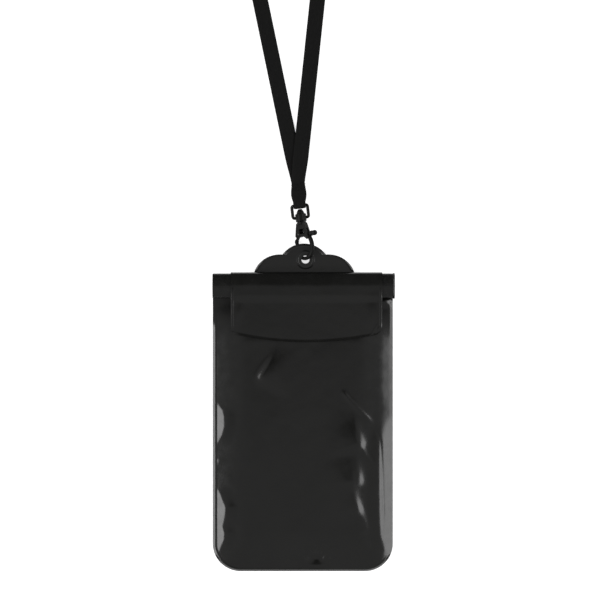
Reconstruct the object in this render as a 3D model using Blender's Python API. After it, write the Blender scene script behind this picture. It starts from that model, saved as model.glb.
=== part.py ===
"""Waterproof phone pouch with a sealing clip, a swivel hook and a neck strap.

The pouch lies on its back. +X is to its right, +Y towards the strap and +Z away from
the surface it lies on. The origin is the middle of the clip's flat back. Metres.
"""
import math

import bpy
import bmesh
from mathutils import Matrix, Vector

# Space kept between faces that touch on the real product
CONTACT = 0.0003

# Films
FILM = 0.0004
BODY_WIDTH = 0.1220
BODY_LENGTH = 0.1852
BODY_X = 0.0
CORNER_RADIUS = 0.0188
WELD_WIDTH = 0.0022
PILLOW_EDGE = 0.018
PILLOW_MOUTH = 0.030
PILLOW_FRONT = 0.0040

# Flap over the clip
FLAP_WIDTH = 0.1026
FLAP_X = 0.0025
FLAP_REACH = 0.0380
FLAP_BOW = 0.0060
FLAP_CORNER = 0.0040
FLAP_DROOP = 0.0005

# Hanging tab
LOBE_RADIUS = 0.0182
TAB_X = 0.00095
TOP_LOBE_Y = 0.0104
SIDE_LOBE_X = 0.0169
SIDE_LOBE_Y = 0.0030
TAB_LIFT = 0.0030
TAB_LIFT_LENGTH = 0.0065
EYELET_X = 0.0018
EYELET_Y = 0.0181
EYELET_RADIUS = 0.00293

# Sealing clip, a little longer than the films it holds
CLIP_OVERHANG = 0.0002
CLIP_LENGTH = BODY_WIDTH + CLIP_OVERHANG
CLIP_HEIGHT = 0.0168
CLIP_THICKNESS = 0.0095
BACK_BAR_THICKNESS = 0.0035
BACK_BAR_ROUND = 0.0012
FRONT_BAR_WALL = 0.0006
BEAD_HEIGHT = 0.0014
BEAD_HALF_WIDTH = 0.0035
END_LIP_LENGTH = 0.0012
END_LIP_FLARE = 0.0005

# Hook: v to its right, u along its swivel axis, w out of its plane
HOOK_X = 0.0020
HOOK_Y = 0.0186
HOOK_HEIGHT = 0.0069
HOOK_LEAN = math.radians(6.8)
HOOK_PITCH = math.radians(-3.0)
HOOK_ROLL = math.radians(43.0)
CLAW_HALF_WIDTH = 0.0072
ARM_RADIUS = 0.0015
TIP_RADIUS = 0.00125
GATE_RADIUS = 0.00145
GATE_TIP_RADIUS = 0.0010
HOUSING_BOTTOM = 0.0157
HOUSING_TOP = 0.0242
HOUSING_BOTTOM_WIDTH = 0.0110
HOUSING_TOP_WIDTH = 0.0068
HOUSING_THICKNESS = 0.0044
SLOT_WIDTH = 0.0020
SLOT_CEILING = 0.0203
WINDOW_V = 0.0013
WINDOW_WIDTH = 0.0046
WINDOW_HEIGHT = 0.0034

# Gate lever
PIVOT_V = -0.0026
PIVOT_U = 0.0166
HUB_RADIUS = 0.0015
LEVER_HEIGHT = 0.0018
KNOB_RADIUS = 0.00185
KNOB_START = 0.0071
KNOB_END = 0.0118
PIN_RADIUS = 0.0006
PIN_CLEARANCE = 0.00008
SPRING_RADIUS = 0.00072
SPRING_WIRE = 0.00030
SPRING_TURNS = 4

# Swivel
COLLAR_RADIUS = 0.0032
COLLAR_HEIGHT = 0.0006
SHANK_RADIUS = 0.0016
BOSS_RADIUS = 0.0037
BOSS_HEIGHT = 0.0054
BARB_RADIUS = 0.0026
BARB_HEIGHT = 0.0028
PRONG_GAP = 0.0008
STIRRUP_WIDTH = 0.0128
STIRRUP_ROD = 0.0021
STIRRUP_REACH = 0.0362
STIRRUP_CORNER = 0.0012

# Neck strap
STRAP_WIDTH = 0.0105
STRAP_THICKNESS = 0.0009
LOOP_WIDTH = 0.0084
JOINT_WIDTH = 0.0091
LOOP_DRIFT = 0.06
LOOP_END_REACH = 0.0520
VIEW_TOP = 0.194
LEG_DESCENT = 0.040
CROSSING_END = 0.112
CROSSING_DESCENT = 0.030
LEG_TURN = 0.019
LEFT_LEG_ROUTE = [(-0.0300, VIEW_TOP), (-0.0318, 0.2035), (-0.0300, 0.2125),
                  (-0.0239, 0.2195), (-0.0179, 0.2260), (-0.0159, 0.2365)]
RIGHT_LEG_ROUTE = [(0.0099, VIEW_TOP), (0.0109, 0.2035), (0.0094, 0.2125),
                   (0.0038, 0.2195), (-0.0022, 0.2260), (-0.0045, 0.2365)]

# Folded length of the strap, on its edge and tied
HANK_X = -0.0102
HANK_START = 0.2343
HANK_LENGTH = 0.1540
HANK_DEPTH = 0.0134
HANK_LIFT = 0.0009
TIE_WIDTH = 0.0080
TIE_THICKNESS = 0.0006

# Levels of the stacked layers in the clip
BACK_FILM_Z = BACK_BAR_THICKNESS + CONTACT + FILM / 2
FRONT_FILM_Z = BACK_FILM_Z + FILM + CONTACT
FRONT_BAR_Z = FRONT_FILM_Z + FILM / 2 + CONTACT
CLIP_EDGE = CLIP_HEIGHT / 2


def clear_scene():
    for obj in list(bpy.data.objects):
        bpy.data.objects.remove(obj, do_unlink=True)


def material(name, colour, roughness, metallic=0.0):
    mat = bpy.data.materials.new(name)
    mat.use_nodes = True
    shader = mat.node_tree.nodes["Principled BSDF"]
    shader.inputs["Base Color"].default_value = (*colour, 1.0)
    shader.inputs["Roughness"].default_value = roughness
    shader.inputs["Metallic"].default_value = metallic
    mat.diffuse_color = (*colour, 1.0)
    return mat


def add_object(name, mesh, mat, parent=None, at=(0, 0, 0)):
    obj = bpy.data.objects.new(name, mesh)
    obj.location = at
    obj.parent = parent
    bpy.context.collection.objects.link(obj)
    if mat:
        obj.data.materials.append(mat)
    return obj


def mesh_from(bm, name, smooth=False):
    bmesh.ops.recalc_face_normals(bm, faces=bm.faces)
    mesh = bpy.data.meshes.new(name)
    bm.to_mesh(mesh)
    bm.free()
    for polygon in mesh.polygons:
        polygon.use_smooth = smooth
    return mesh


def smooth_step(t):
    t = min(max(t, 0.0), 1.0)
    return t * t * (3 - 2 * t)


def spaced(start, end, count):
    return [start + (end - start) * i / (count - 1) for i in range(count)]


def smooth_path(points, steps):
    """Points read from a smooth curve through the given ones."""
    ends = [points[0] * 2 - points[1], *points, points[-1] * 2 - points[-2]]
    path = []
    for a, b, c, d in zip(ends, ends[1:], ends[2:], ends[3:]):
        for i in range(steps):
            t = i / steps
            path.append(0.5 * (2 * b + (c - a) * t + (2 * a - 5 * b + 4 * c - d) * t ** 2
                               + (3 * b - a - 3 * c + d) * t ** 3))
    path.append(points[-1])
    return path


def prism(name, outline, low, high, axis="Z"):
    """A closed outline in two coordinates, extruded along the third."""
    place = {"X": lambda a, b, c: (c, a, b), "Y": lambda a, b, c: (a, c, b),
             "Z": lambda a, b, c: (a, b, c)}[axis]
    bm = bmesh.new()
    base = [bm.verts.new(place(a, b, low)) for a, b in outline]
    top = [bm.verts.new(place(a, b, high)) for a, b in outline]
    bm.faces.new(base)
    bm.faces.new(top)
    for i in range(len(outline)):
        j = (i + 1) % len(outline)
        bm.faces.new((base[i], base[j], top[j], top[i]))
    return mesh_from(bm, name)


def turned(name, profile, sides=24):
    """A closed profile of (radius, height) turned about the u axis."""
    bm = bmesh.new()
    rings = []
    for radius, height in profile:
        if radius == 0:
            rings.append([bm.verts.new((0, height, 0))])
            continue
        rings.append([bm.verts.new((radius * math.cos(math.tau * i / sides), height,
                                    radius * math.sin(math.tau * i / sides)))
                      for i in range(sides)])
    for lower, upper in zip(rings, rings[1:]):
        for i in range(sides):
            j = (i + 1) % sides
            corners = [lower[i % len(lower)], lower[j % len(lower)],
                       upper[j % len(upper)], upper[i % len(upper)]]
            bm.faces.new(list(dict.fromkeys(corners)))
    return mesh_from(bm, name, smooth=True)


def swept(name, path, radii, sides=14, closed=False):
    """A round rod along a path that lies in one plane, with rounded ends."""
    bm = bmesh.new()
    rings = []
    count = len(path)
    for i, point in enumerate(path):
        before = path[i - 1] if closed or i else path[i]
        after = path[(i + 1) % count] if closed or i < count - 1 else path[i]
        along = (after - before).normalized()
        across = Vector((-along.y, along.x, 0))
        rings.append([point + radii[i] * (across * math.cos(math.tau * k / sides)
                                          + Vector((0, 0, math.sin(math.tau * k / sides))))
                      for k in range(sides)])
    if not closed:
        for end, inner in ((0, 1), (-1, -2)):
            along = (path[end] - path[inner]).normalized()
            cap = []
            for turn in (30, 58):
                centre = path[end] + along * radii[end] * math.sin(math.radians(turn))
                shrink = math.cos(math.radians(turn))
                cap.append([centre + (p - path[end]) * shrink for p in rings[end]])
            rings = [*reversed(cap), *rings] if end == 0 else [*rings, *cap]
    rings = [[bm.verts.new(p) for p in ring] for ring in rings]
    pairs = list(zip(rings, rings[1:]))
    if closed:
        pairs.append((rings[-1], rings[0]))
    else:
        bm.faces.new(rings[0])
        bm.faces.new(rings[-1])
    for lower, upper in pairs:
        for k in range(sides):
            m = (k + 1) % sides
            bm.faces.new((lower[k], lower[m], upper[m], upper[k]))
    return mesh_from(bm, name, smooth=True)


def sheet_mesh(name, rows):
    """An open surface through rows of points, to be given its thickness later."""
    bm = bmesh.new()
    grid = [[bm.verts.new(p) for p in row] for row in rows]
    for lower, upper in zip(grid, grid[1:]):
        for i in range(len(lower) - 1):
            bm.faces.new((lower[i], lower[i + 1], upper[i + 1], upper[i]))
    return mesh_from(bm, name, smooth=True)


def thicken(obj, thickness):
    wall = obj.modifiers.new("thickness", "SOLIDIFY")
    wall.thickness = thickness
    wall.offset = 0
    wall.use_even_offset = True


def combine(obj, other, operation):
    """Adds or cuts with another object, which is kept but hidden."""
    step = obj.modifiers.new(operation.lower() + "_" + other.name, "BOOLEAN")
    step.operation = operation
    step.solver = "EXACT"
    step.object = other
    other.hide_render = True
    other.display_type = "WIRE"


def nip(y):
    """Rise of the sealing bead, which every layer in the clip follows."""
    if abs(y) >= BEAD_HALF_WIDTH:
        return 0.0
    return BEAD_HEIGHT * (1 + math.cos(math.pi * y / BEAD_HALF_WIDTH)) / 2


def nip_stations(edge):
    return [-edge, *spaced(-BEAD_HALF_WIDTH, BEAD_HALF_WIDTH, 9), edge]


def pouch_half_width(y):
    """Half the pouch's width at a height, round its lower corners."""
    rise = y - (-CLIP_EDGE - BODY_LENGTH)
    if rise >= CORNER_RADIUS:
        return BODY_WIDTH / 2
    drop = CORNER_RADIUS - rise
    return BODY_WIDTH / 2 - CORNER_RADIUS + math.sqrt(CORNER_RADIUS ** 2 - drop ** 2)


def pillow(x, y):
    """How far the films have swelled apart at a place, from 0 to 1."""
    side = BODY_WIDTH / 2 - abs(x - BODY_X)
    rise = y - (-CLIP_EDGE - BODY_LENGTH)
    inset = min(side, rise)
    if side < CORNER_RADIUS and rise < CORNER_RADIUS:
        inset = CORNER_RADIUS - math.hypot(CORNER_RADIUS - side, CORNER_RADIUS - rise)
    swell = math.sin(math.pi / 2 * min(max((inset - WELD_WIDTH) / PILLOW_EDGE, 0.0), 1.0))
    return swell * smooth_step((-CLIP_EDGE - y) / PILLOW_MOUTH)


def pouch_levels():
    """Heights of the rows of points below the clip, from the bottom up."""
    bottom = -CLIP_EDGE - BODY_LENGTH
    corner = [bottom + CORNER_RADIUS * (1 - math.cos(math.radians(a))) for a in range(0, 91, 15)]
    straight = spaced(bottom + CORNER_RADIUS, -CLIP_EDGE - PILLOW_MOUTH, 10)[1:]
    mouth = spaced(-CLIP_EDGE - PILLOW_MOUTH, -CLIP_EDGE, 7)[1:-1]
    return corner + straight + mouth


def column_shares():
    """Places of the columns of points across a film, from -1 to 1."""
    insets = [0, WELD_WIDTH, 0.005, 0.009, 0.014, WELD_WIDTH + PILLOW_EDGE]
    half = [1 - inset / (BODY_WIDTH / 2) for inset in insets] + [0.42, 0.2]
    return [-s for s in half] + [0.0] + half[::-1]


def film_row(y, half_width, centre, level):
    """One row of points across a film; level gives z from x."""
    return [Vector((centre + share * half_width, y, level(centre + share * half_width)))
            for share in column_shares()]


def tab_outline_rows(base):
    """Heights and half widths of the scalloped tab, from its base up."""
    side = []
    low = math.acos((base - SIDE_LOBE_Y) / LOBE_RADIUS)
    for turn in spaced(low, math.radians(3), 8):
        side.append((SIDE_LOBE_Y + LOBE_RADIUS * math.cos(turn),
                     SIDE_LOBE_X + LOBE_RADIUS * math.sin(turn)))
    joint = SIDE_LOBE_Y + LOBE_RADIUS + CONTACT / 2
    top = []
    for turn in spaced(math.acos((joint - TOP_LOBE_Y) / LOBE_RADIUS), math.radians(4), 8):
        top.append((TOP_LOBE_Y + LOBE_RADIUS * math.cos(turn), LOBE_RADIUS * math.sin(turn)))
    return side + top


def tab_level(y):
    """Rise of the tab, which the hook lifts off the surface."""
    return TAB_LIFT * smooth_step((y - CLIP_EDGE - 0.0014) / TAB_LIFT_LENGTH)


def eyelet_cutter():
    profile = [(0, -0.002), (EYELET_RADIUS, -0.002), (EYELET_RADIUS, 0.002), (0, 0.002)]
    cutter = add_object("eyelet_cutter", turned("eyelet_cutter", profile, 40), None)
    cutter.rotation_euler = (math.pi / 2, 0, 0)
    cutter.location = (EYELET_X, EYELET_Y, BACK_FILM_Z + TAB_LIFT - (FILM + CONTACT) / 2)
    return cutter


def back_film(mat, eyelet):
    """Back panel, which runs on through the clip as the tab's front layer."""
    half = pouch_half_width
    rows = [film_row(y, half(y), BODY_X,
                     lambda x, y=y: BACK_FILM_Z + (FILM / 2 - BACK_FILM_Z) * pillow(x, y))
            for y in pouch_levels()]
    stations = nip_stations(CLIP_EDGE)
    rows += [film_row(y, BODY_WIDTH / 2, BODY_X, lambda x, y=y: BACK_FILM_Z + nip(y))
             for y in stations[:-1]]
    tab = tab_outline_rows(CLIP_EDGE)
    rows.append(film_row(stations[-2] + 0.001, tab[0][1], TAB_X, lambda x: BACK_FILM_Z))
    rows += [film_row(y, width, TAB_X, lambda x, y=y: BACK_FILM_Z + tab_level(y))
             for y, width in tab]
    film = add_object("back_film", sheet_mesh("back_film", rows), mat)
    thicken(film, FILM)
    combine(film, eyelet, "DIFFERENCE")
    return film


def tab_facing(mat, eyelet):
    """Second layer of the tab, welded behind the first above the clip."""
    level = BACK_FILM_Z - FILM - CONTACT
    rows = [film_row(y, width, TAB_X, lambda x, y=y: level + tab_level(y))
            for y, width in tab_outline_rows(CLIP_EDGE + CONTACT)]
    facing = add_object("tab_facing", sheet_mesh("tab_facing", rows), mat)
    thicken(facing, FILM)
    combine(facing, eyelet, "DIFFERENCE")
    return facing


def flap_path():
    """Side view of the flap's way over the clip, as (y, z)."""
    reach = CONTACT + FILM / 2
    wall_top = FRONT_BAR_Z + FRONT_BAR_WALL
    path = [(CLIP_EDGE + 0.6 * reach, FRONT_FILM_Z + 0.3 * reach),
            (CLIP_EDGE + reach + 0.0001, FRONT_FILM_Z + reach)]
    for turn in spaced(0, math.pi / 2, 9):
        path.append(((CLIP_EDGE + reach + 0.0001) * math.cos(turn),
                     wall_top + (CLIP_THICKNESS - wall_top + reach) * math.sin(turn)))
    return path


def front_film(mat):
    """Front panel, which runs on through the clip and folds over it as the flap."""
    half = pouch_half_width
    rows = [film_row(y, half(y), BODY_X,
                     lambda x, y=y: FRONT_FILM_Z + PILLOW_FRONT * pillow(x, y))
            for y in pouch_levels()]
    stations = nip_stations(CLIP_EDGE)
    rows += [film_row(y, BODY_WIDTH / 2, BODY_X, lambda x, y=y: FRONT_FILM_Z + nip(y))
             for y in stations[:-1]]
    flap_half = FLAP_WIDTH / 2
    rows += [film_row(y, flap_half, FLAP_X, lambda x: FRONT_FILM_Z)
             for y in (stations[-2] + 0.001, CLIP_EDGE)]
    rows += [film_row(y, flap_half, FLAP_X, lambda x, z=z: z) for y, z in flap_path()]
    level = flap_path()[-1][1]
    corner = [math.radians(a) for a in (0, 30, 60, 90)]
    ends = [(1 - (1 - math.sin(a)) * FLAP_CORNER / FLAP_REACH,
             flap_half - FLAP_CORNER * (1 - math.cos(a))) for a in corner]
    for share, half_width in [(0.25, flap_half), (0.5, flap_half), (0.75, flap_half), *ends]:
        row = film_row(0, half_width, FLAP_X, lambda x: level - FLAP_DROOP * share)
        for point in row:
            bow = FLAP_BOW * ((point.x - FLAP_X) / flap_half) ** 2
            point.y = -share * (FLAP_REACH - bow)
        rows.append(row)
    film = add_object("front_film", sheet_mesh("front_film", rows), mat)
    thicken(film, FILM)
    return film


def clip_back_bar(mat):
    """Back half of the clip, with the bead that presses the films into the other half."""
    corner = [math.radians(a) for a in range(0, 91, 18)]
    inner = CLIP_EDGE - BACK_BAR_ROUND
    outline = [(y, BACK_BAR_THICKNESS + nip(y)) for y in nip_stations(CLIP_EDGE)]
    outline += [(inner + BACK_BAR_ROUND * math.cos(a), BACK_BAR_ROUND * (1 - math.sin(a)))
                for a in corner]
    outline += [(-inner - BACK_BAR_ROUND * math.sin(a), BACK_BAR_ROUND * (1 - math.cos(a)))
                for a in corner]
    mesh = prism("clip_back_bar", outline, -CLIP_LENGTH / 2, CLIP_LENGTH / 2, "X")
    return add_object("clip_back_bar", mesh, mat)


def front_bar_outline(flare=0.0):
    """Section of the front bar: grooved underneath and domed on top."""
    wall_top = FRONT_BAR_Z + FRONT_BAR_WALL
    outline = [(y, FRONT_BAR_Z + nip(y)) for y in nip_stations(CLIP_EDGE)]
    outline += [((CLIP_EDGE + flare) * math.cos(a),
                 wall_top + (CLIP_THICKNESS + flare - wall_top) * math.sin(a))
                for a in spaced(0, math.pi, 19)]
    return outline


def clip_front_bar(mat):
    """Front half of the clip, which slides off to the right, with a lip at that end."""
    bm = bmesh.new()
    end = CLIP_LENGTH / 2
    lip = END_LIP_LENGTH
    stations = [(-end, 0.0), (end - 0.0002, 0.0), (end + lip * 0.2, END_LIP_FLARE * 0.7),
                (end + lip * 0.5, END_LIP_FLARE), (end + lip * 0.85, END_LIP_FLARE * 0.7),
                (end + lip, END_LIP_FLARE * 0.1)]
    rings = [[bm.verts.new((x, y, z)) for y, z in front_bar_outline(flare)]
             for x, flare in stations]
    bm.faces.new(rings[0])
    bm.faces.new(rings[-1])
    for lower, upper in zip(rings, rings[1:]):
        for i in range(len(lower)):
            j = (i + 1) % len(lower)
            bm.faces.new((lower[i], lower[j], upper[j], upper[i]))
    return add_object("clip_front_bar", mesh_from(bm, "clip_front_bar"), mat)


def axis_frame(name, along, roll):
    """An empty on the hook's axis, with x across, y along the axis and z out of plane."""
    frame = bpy.data.objects.new(name, None)
    frame.empty_display_size = 0.01
    turn = (Matrix.Rotation(HOOK_LEAN, 4, "Z") @ Matrix.Rotation(HOOK_PITCH, 4, "X"))
    start = Matrix.Translation((HOOK_X, HOOK_Y, HOOK_HEIGHT)) @ turn
    frame.matrix_world = start @ Matrix.Translation((0, along, 0)) @ Matrix.Rotation(-roll, 4, "Y")
    bpy.context.collection.objects.link(frame)
    return frame


def claw_mesh():
    """The hook's fixed arm, from its root in the housing round to its tip."""
    half = CLAW_HALF_WIDTH
    route = [(4.6, 15.0), (6.0, 13.0), (6.9, 10.0), (7.0, 7.0), (6.0, 3.7), (3.7, 1.2),
             (0.6, 0.0), (-2.8, 0.6), (-5.6, 2.6), (-7.1, 4.7), (-7.5, 6.4)]
    scale = half / 7.0
    path = smooth_path([Vector((v * scale, u * 0.001, 0)) for v, u in route], 3)
    radii = []
    for point in path:
        share = smooth_step((point.x + 0.3 * half) / (1.2 * half))
        radii.append(TIP_RADIUS + (ARM_RADIUS - TIP_RADIUS) * share)
    return swept("claw", path, radii)


def hook_body(mat, frame):
    """Housing, claw and snap-in swivel shank in one moulding."""
    low, high = HOUSING_BOTTOM_WIDTH / 2, HOUSING_TOP_WIDTH / 2
    outline = [(-high, HOUSING_TOP), (-low, HOUSING_BOTTOM), (-low + 0.0005, 0.0147),
               (-0.0028, 0.01475), (0.0004, 0.0150), (0.0026, 0.0143), (0.0042, 0.0127),
               (0.0066, 0.0128), (low + 0.0002, HOUSING_BOTTOM), (high, HOUSING_TOP)]
    half = HOUSING_THICKNESS / 2
    body = add_object("hook_body", prism("hook_body", outline, -half, half), mat, frame)
    edge = body.modifiers.new("rounded_edges", "BEVEL")
    edge.width = 0.0005
    edge.segments = 2
    edge.limit_method = "ANGLE"
    edge.angle_limit = math.radians(50)

    claw = add_object("claw_form", claw_mesh(), mat, frame)
    combine(body, claw, "UNION")

    collar_top = HOUSING_TOP + COLLAR_HEIGHT
    head = collar_top + BOSS_HEIGHT + 2 * CONTACT
    profile = [(0, HOUSING_TOP - 0.001), (COLLAR_RADIUS, HOUSING_TOP - 0.001),
               (COLLAR_RADIUS, collar_top), (SHANK_RADIUS, collar_top), (SHANK_RADIUS, head),
               (BARB_RADIUS, head), (BARB_RADIUS, head + 0.0006),
               (SHANK_RADIUS * 0.8, head + BARB_HEIGHT), (0, head + BARB_HEIGHT)]
    shank = add_object("shank_form", turned("shank", profile), mat, frame)
    combine(body, shank, "UNION")

    gap = PRONG_GAP / 2
    split = prism("split", [(-gap, head - 0.002), (gap, head - 0.002),
                            (gap, head + 2 * BARB_HEIGHT), (-gap, head + 2 * BARB_HEIGHT)],
                  -0.004, 0.004)
    combine(body, add_object("split_cutter", split, None, frame), "DIFFERENCE")

    lever_low = PIVOT_U - HUB_RADIUS
    slot = [(-0.0095, 0.008), (-0.0095, 0.0146), (-0.0048, 0.0186), (-0.0034, SLOT_CEILING),
            (0.0095, SLOT_CEILING), (0.0095, lever_low - CONTACT),
            (0.0022, lever_low - CONTACT), (0.0022, 0.008)]
    cutter = prism("slot", slot, -SLOT_WIDTH / 2, SLOT_WIDTH / 2)
    combine(body, add_object("slot_cutter", cutter, None, frame), "DIFFERENCE")

    left, right = WINDOW_V - WINDOW_WIDTH / 2, WINDOW_V + WINDOW_WIDTH / 2
    top = SLOT_CEILING - CONTACT
    window = prism("window", [(left, top - WINDOW_HEIGHT), (right, top - WINDOW_HEIGHT),
                              (right, top), (left, top)], 0.0005, HOUSING_THICKNESS)
    combine(body, add_object("window_cutter", window, None, frame), "DIFFERENCE")

    bore = turned("bore", [(0, -0.004), (PIN_RADIUS + PIN_CLEARANCE, -0.004),
                           (PIN_RADIUS + PIN_CLEARANCE, 0.004), (0, 0.004)])
    cutter = add_object("bore_cutter", bore, None, frame, (PIVOT_V, PIVOT_U, 0))
    cutter.rotation_euler = (math.pi / 2, 0, 0)
    combine(body, cutter, "DIFFERENCE")
    return body


def hook_gate(mat, frame):
    """Spring-loaded lever: thumb knob to the right, gate down the left side."""
    pivot = (PIVOT_V, PIVOT_U, 0)
    plate_half = SLOT_WIDTH / 2 - CONTACT
    turns = [math.radians(a) for a in range(90, 200, 18)]
    outline = [(HUB_RADIUS * math.cos(a), HUB_RADIUS * math.sin(a)) for a in turns]
    outline += [(-0.0042, -0.0030), (-0.0045, -0.0047), (-0.0032, -0.0052), (-0.0022, -0.0036),
                (-0.0006, -HUB_RADIUS), (0.0012, -HUB_RADIUS)]
    knob_middle = KNOB_START - PIVOT_V + 0.001
    top = LEVER_HEIGHT - HUB_RADIUS
    outline += [(knob_middle, -HUB_RADIUS), (knob_middle, top), (0.0019, top),
                (0.0006, HUB_RADIUS)]
    plate = prism("hook_gate", outline, -plate_half, plate_half)
    gate = add_object("hook_gate", plate, mat, frame, pivot)

    route = [(-6.3, 12.5), (-6.4, 11.0), (-5.75, 9.2), (-4.75, 7.3)]
    path = smooth_path([Vector((v * 0.001, u * 0.001, 0)) - Vector(pivot) for v, u in route], 3)
    radii = spaced(GATE_RADIUS, GATE_TIP_RADIUS, len(path))
    arm = add_object("gate_arm_form", swept("gate_arm", path, radii), mat, frame, pivot)
    combine(gate, arm, "UNION")

    middle = (LEVER_HEIGHT - 2 * HUB_RADIUS) / 2
    knob_path = [Vector((v - PIVOT_V, middle, 0))
                 for v in spaced(KNOB_START + KNOB_RADIUS * 0.5, KNOB_END - KNOB_RADIUS * 0.5, 4)]
    knob_radii = [KNOB_RADIUS, KNOB_RADIUS * 0.92, KNOB_RADIUS * 0.92, KNOB_RADIUS]
    knob = add_object("knob_form", swept("knob", knob_path, knob_radii), mat, frame, pivot)
    combine(gate, knob, "UNION")

    bore = turned("lever_bore", [(0, -0.004), (PIN_RADIUS + PIN_CLEARANCE, -0.004),
                                 (PIN_RADIUS + PIN_CLEARANCE, 0.004), (0, 0.004)])
    cutter = add_object("lever_bore_cutter", bore, None, frame, pivot)
    cutter.rotation_euler = (math.pi / 2, 0, 0)
    combine(gate, cutter, "DIFFERENCE")
    return gate


def gate_pin(mat, frame):
    half = HOUSING_THICKNESS / 2 - 0.0001
    rim = PIN_RADIUS - 0.0001
    profile = [(0, -half), (rim, -half), (PIN_RADIUS, -half + 0.0001),
               (PIN_RADIUS, half - 0.0001), (rim, half), (0, half)]
    pin = add_object("gate_pin", turned("gate_pin", profile), mat, frame,
                     (PIVOT_V, PIVOT_U, 0))
    pin.rotation_euler = (math.pi / 2, 0, 0)
    return pin


def gate_spring(mat, frame):
    """Coil spring between the slot's ceiling and the lever."""
    low = PIVOT_U + LEVER_HEIGHT - HUB_RADIUS + CONTACT + SPRING_WIRE / 2
    high = SLOT_CEILING - CONTACT - SPRING_WIRE / 2
    curve = bpy.data.curves.new("gate_spring", "CURVE")
    curve.dimensions = "3D"
    curve.bevel_depth = SPRING_WIRE / 2
    curve.bevel_resolution = 2
    curve.use_fill_caps = True
    spline = curve.splines.new("POLY")
    count = SPRING_TURNS * 12 + 1
    spline.points.add(count - 1)
    for i in range(count):
        turn = math.tau * SPRING_TURNS * i / (count - 1)
        spline.points[i].co = (WINDOW_V + SPRING_RADIUS * math.cos(turn),
                               low + (high - low) * i / (count - 1),
                               SPRING_RADIUS * math.sin(turn), 1)
    return add_object("gate_spring", curve, mat, frame)


def swivel_stirrup(mat, frame):
    """Loop for the strap, with the boss that turns on the hook's shank."""
    half = (STIRRUP_WIDTH - STIRRUP_ROD) / 2
    bottom = HOUSING_TOP + COLLAR_HEIGHT + CONTACT
    middle = bottom + BOSS_HEIGHT / 2
    corners = [(half, STIRRUP_REACH, 0), (-half, STIRRUP_REACH, 90),
               (-half, middle, 180), (half, middle, 270)]
    path = []
    for v, u, start in corners:
        centre = Vector((v - math.copysign(STIRRUP_CORNER, v),
                         u - math.copysign(STIRRUP_CORNER, u - middle - 0.001), 0))
        for step in range(0, 91, 15):
            a = math.radians(start + step)
            path.append(centre + STIRRUP_CORNER * Vector((math.cos(a), math.sin(a), 0)))
    shift = Vector((0, -middle, 0))
    rod = swept("swivel_stirrup", [p + shift for p in path],
                [STIRRUP_ROD / 2] * len(path), closed=True)
    stirrup = add_object("swivel_stirrup", rod, mat, frame)

    low, high = bottom - middle, bottom + BOSS_HEIGHT - middle
    rim = BOSS_RADIUS - 0.0004
    profile = [(0, low), (rim, low), (BOSS_RADIUS, low + 0.0004),
               (BOSS_RADIUS, high - 0.0004), (rim, high), (0, high)]
    combine(stirrup, add_object("boss_form", turned("boss", profile), mat, frame), "UNION")
    bore = turned("swivel_bore", [(0, 2 * low), (SHANK_RADIUS + CONTACT, 2 * low),
                                  (SHANK_RADIUS + CONTACT, 2 * high), (0, 2 * high)])
    combine(stirrup, add_object("swivel_bore_cutter", bore, None, frame), "DIFFERENCE")
    return stirrup


def band(name, stations, mat, thickness=STRAP_THICKNESS, parent=None):
    """A flat strap through stations of centre, direction across it and width."""
    bm = bmesh.new()
    rings = []
    for i, (centre, across, width) in enumerate(stations):
        before = stations[max(i - 1, 0)][0]
        after = stations[min(i + 1, len(stations) - 1)][0]
        across = across.normalized() * width / 2
        rise = across.cross(after - before).normalized() * thickness / 2
        rings.append([bm.verts.new(centre + a + b)
                      for a, b in ((-across, -rise), (across, -rise),
                                   (across, rise), (-across, rise))])
    bm.faces.new(rings[0])
    bm.faces.new(rings[-1])
    for lower, upper in zip(rings, rings[1:]):
        for i in range(4):
            j = (i + 1) % 4
            bm.faces.new((lower[i], lower[j], upper[j], upper[i]))
    return add_object(name, mesh_from(bm, name), mat, parent)


def strap_loop_end(mat, frame):
    """Sewn end of the strap, folded round the stirrup's top bar."""
    bottom = HOUSING_TOP + COLLAR_HEIGHT + CONTACT
    middle = bottom + BOSS_HEIGHT / 2
    bar = STIRRUP_REACH - middle
    top = LOOP_END_REACH - middle
    ply = (STRAP_THICKNESS + CONTACT) / 2
    wrap = STIRRUP_ROD / 2 + CONTACT + STRAP_THICKNESS / 2
    side = [(top, ply), (bar + 0.012, ply), (bar + 0.008, ply), (bar + 0.005, ply + 0.0002),
            (bar + 0.0025, wrap * 0.75), (bar + 0.0012, wrap * 0.97)]
    turn = [(bar - wrap * math.sin(a), wrap * math.cos(a))
            for a in spaced(math.radians(8), math.radians(172), 9)]
    path = side + turn + [(u, -w) for u, w in reversed(side)]
    stations = []
    for u, w in path:
        flare = smooth_step((u - bar - 0.0018) / 0.005)
        waist = smooth_step((u - bar - 0.0080) / 0.0070)
        width = LOOP_WIDTH + (STRAP_WIDTH - LOOP_WIDTH) * flare
        width += (JOINT_WIDTH - STRAP_WIDTH) * waist
        drift = LOOP_DRIFT * max(u - bar, 0)
        stations.append((Vector((drift, u, w)), Vector((1, 0, 0)), width))
    return band("strap_loop_end", stations, mat, parent=frame)


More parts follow.
